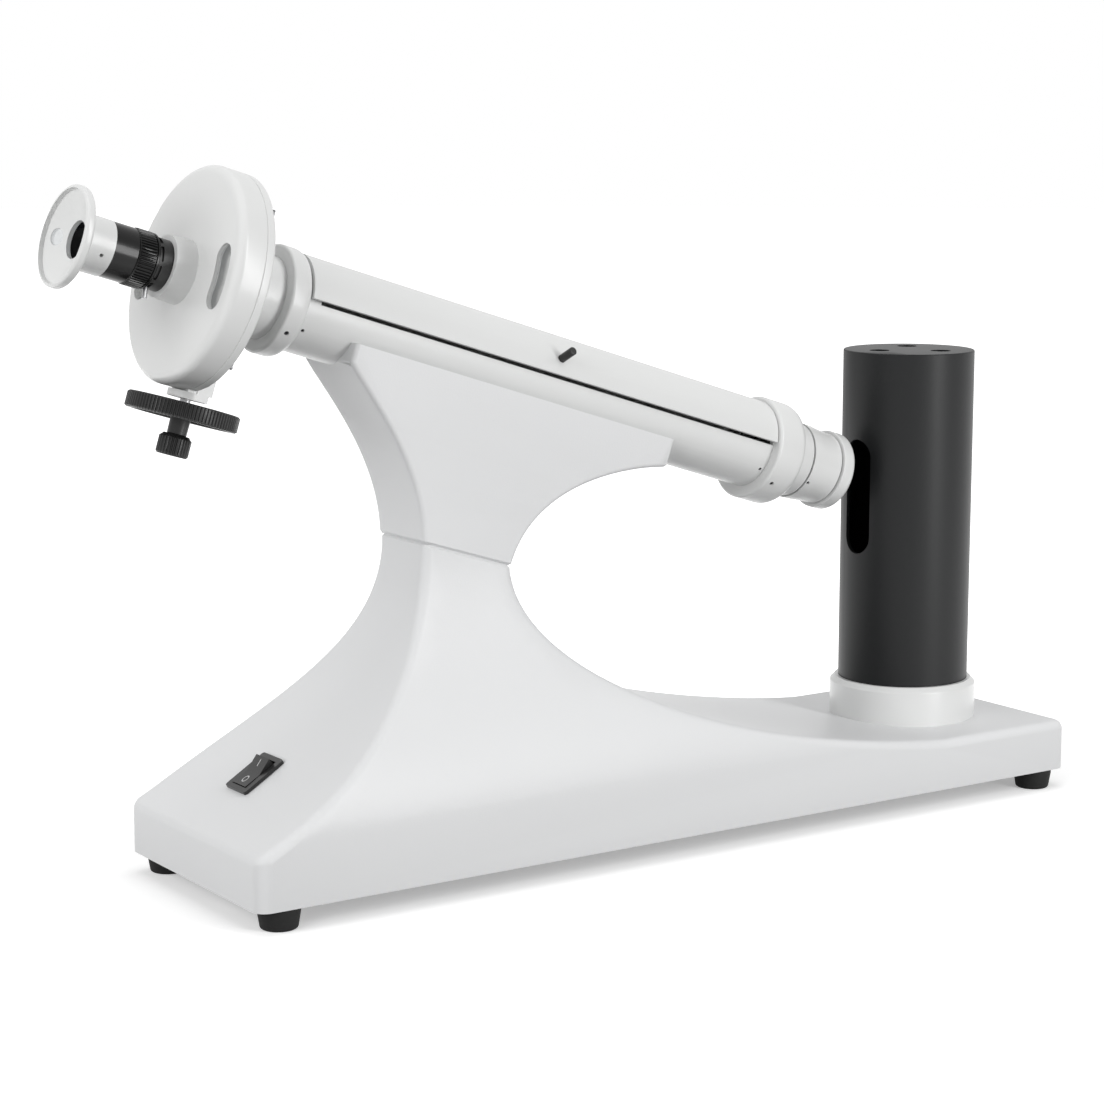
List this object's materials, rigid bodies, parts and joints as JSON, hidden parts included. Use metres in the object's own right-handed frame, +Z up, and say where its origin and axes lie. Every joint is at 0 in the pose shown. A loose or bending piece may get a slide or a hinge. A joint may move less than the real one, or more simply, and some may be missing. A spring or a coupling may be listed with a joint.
{
  "type": "polarimeter",
  "caption": "Disc polarimeter on a cast base, with a lidded sample trough, a geared analyser dial, a focusing eyepiece and an upright lamp housing.",
  "frame": {"origin": "on the table under the middle of the instrument's bounding box", "axes": "+X runs from the eyepiece end to the lamp end, +Z is up, and -Y is the side with the lid's handle"},
  "size_m": [0.5628, 0.1344, 0.3433],
  "materials": {
    "white_enamel": "fine textured pale grey white enamel",
    "grey_enamel": "satin pale grey enamel",
    "black_knurled": "satin black moulding",
    "black_gloss": "polished black",
    "lamp_black": "satin black anodised tube",
    "black_rubber": "matt black rubber",
    "steel": "turned steel",
    "brass": "machined brass",
    "dial_metal": "matt silvered scale",
    "optical_glass": "polished clear",
    "filter_glass": "polished yellow",
    "sheet_steel": "pale grey sheet",
    "board_green": "circuit board",
    "ceramic": "glazed white"
  },
  "bodies": {
    "stand": {"base_casting": "white_enamel", "bottom_cover": "sheet_steel", "foot_front_near": "black_rubber", "foot_front_far": "black_rubber", "foot_rear_near": "black_rubber", "foot_rear_far": "black_rubber", "foot_screws": "steel", "power_board": "board_green", "inlet_socket": "black_knurled", "switch_body": "black_gloss", "saddle_casting": "white_enamel", "saddle_bolts": "steel", "sample_trough": "grey_enamel", "trough_screws": "steel", "analyser_ring": "grey_enamel", "polariser_ring": "grey_enamel", "hinge_rod": "steel", "ring_set_screws": "steel", "analyser_neck": "grey_enamel", "dial_back_plate": "grey_enamel", "dial_cover": "grey_enamel", "window_panes": "optical_glass", "dial_cover_screws": "steel", "verniers": "dial_metal", "pinion_housing": "grey_enamel", "shaft_bush": "brass", "eyepiece_holder": "grey_enamel", "eyepiece_barrel": "black_knurled", "guide_pin": "steel", "objective_lens": "optical_glass", "polariser_barrel": "grey_enamel", "polariser_mount": "grey_enamel", "collimator_cap": "grey_enamel", "collimator_lens": "optical_glass", "half_shade_plate": "optical_glass", "polariser": "filter_glass", "colour_filter": "filter_glass", "chamber_windows": "optical_glass", "lamp_ring": "grey_enamel", "lamp_socket": "ceramic", "lamp_bulb": "optical_glass", "lamp_housing": "lamp_black"},
    "lid": {"lid": "grey_enamel", "lid_handle": "black_knurled"},
    "dial": {"dial": "dial_metal", "crown_gear": "brass", "analyser_sleeve": "brass", "dial_retaining_ring": "brass", "analyser": "filter_glass"},
    "handwheel": {"drive_shaft": "steel", "pinion": "steel", "handwheel": "black_knurled", "fine_knob": "black_knurled"},
    "focus_ring": {"focus_ring": "black_knurled"},
    "eyepiece": {"eyepiece_tube": "black_gloss", "eyepiece_lens": "optical_glass", "eyepiece_collar": "grey_enamel", "eyecup_plate": "grey_enamel", "magnifier_lens": "optical_glass"},
    "rocker": {"switch_rocker": "black_gloss"}
  },
  "joints": [
    {"name": "lid_hinge", "type": "hinge", "parent": "stand", "child": "lid", "pos_m": [-0.02645, 0.02367, 0.23938], "axis": [-0.9544, 0, 0.2986], "range_deg": [0, 110]},
    {"name": "dial_turn", "type": "hinge", "parent": "stand", "child": "dial", "pos_m": [-0.2102, 0, 0.29339], "axis": [0.9544, 0, -0.2986], "continuous": true},
    {"name": "handwheel_turn", "type": "hinge", "parent": "stand", "child": "handwheel", "pos_m": [-0.21762, 0, 0.23284], "axis": [0.2986, 0, 0.9544], "continuous": true},
    {"name": "focus_turn", "type": "hinge", "parent": "stand", "child": "focus_ring", "pos_m": [-0.23884, 0, 0.30234], "axis": [0.9544, 0, -0.2986], "range_deg": [0, 270]},
    {"name": "eyepiece_slide", "type": "slide", "parent": "stand", "child": "eyepiece", "axis": [-0.9544, 0, 0.2986], "range_m": [0, 0.005]},
    {"name": "rocker_tip", "type": "hinge", "parent": "stand", "child": "rocker", "pos_m": [-0.18115, 0.004, 0.05512], "axis": [0, 1, 0], "range_deg": [0, 20]}
  ],
  "couplings": [
    {"joint": "handwheel_turn", "follows": "dial_turn", "ratio": -6.3333},
    {"joint": "focus_turn", "follows": "eyepiece_slide", "rad_per_m": 942.48}
  ]
}
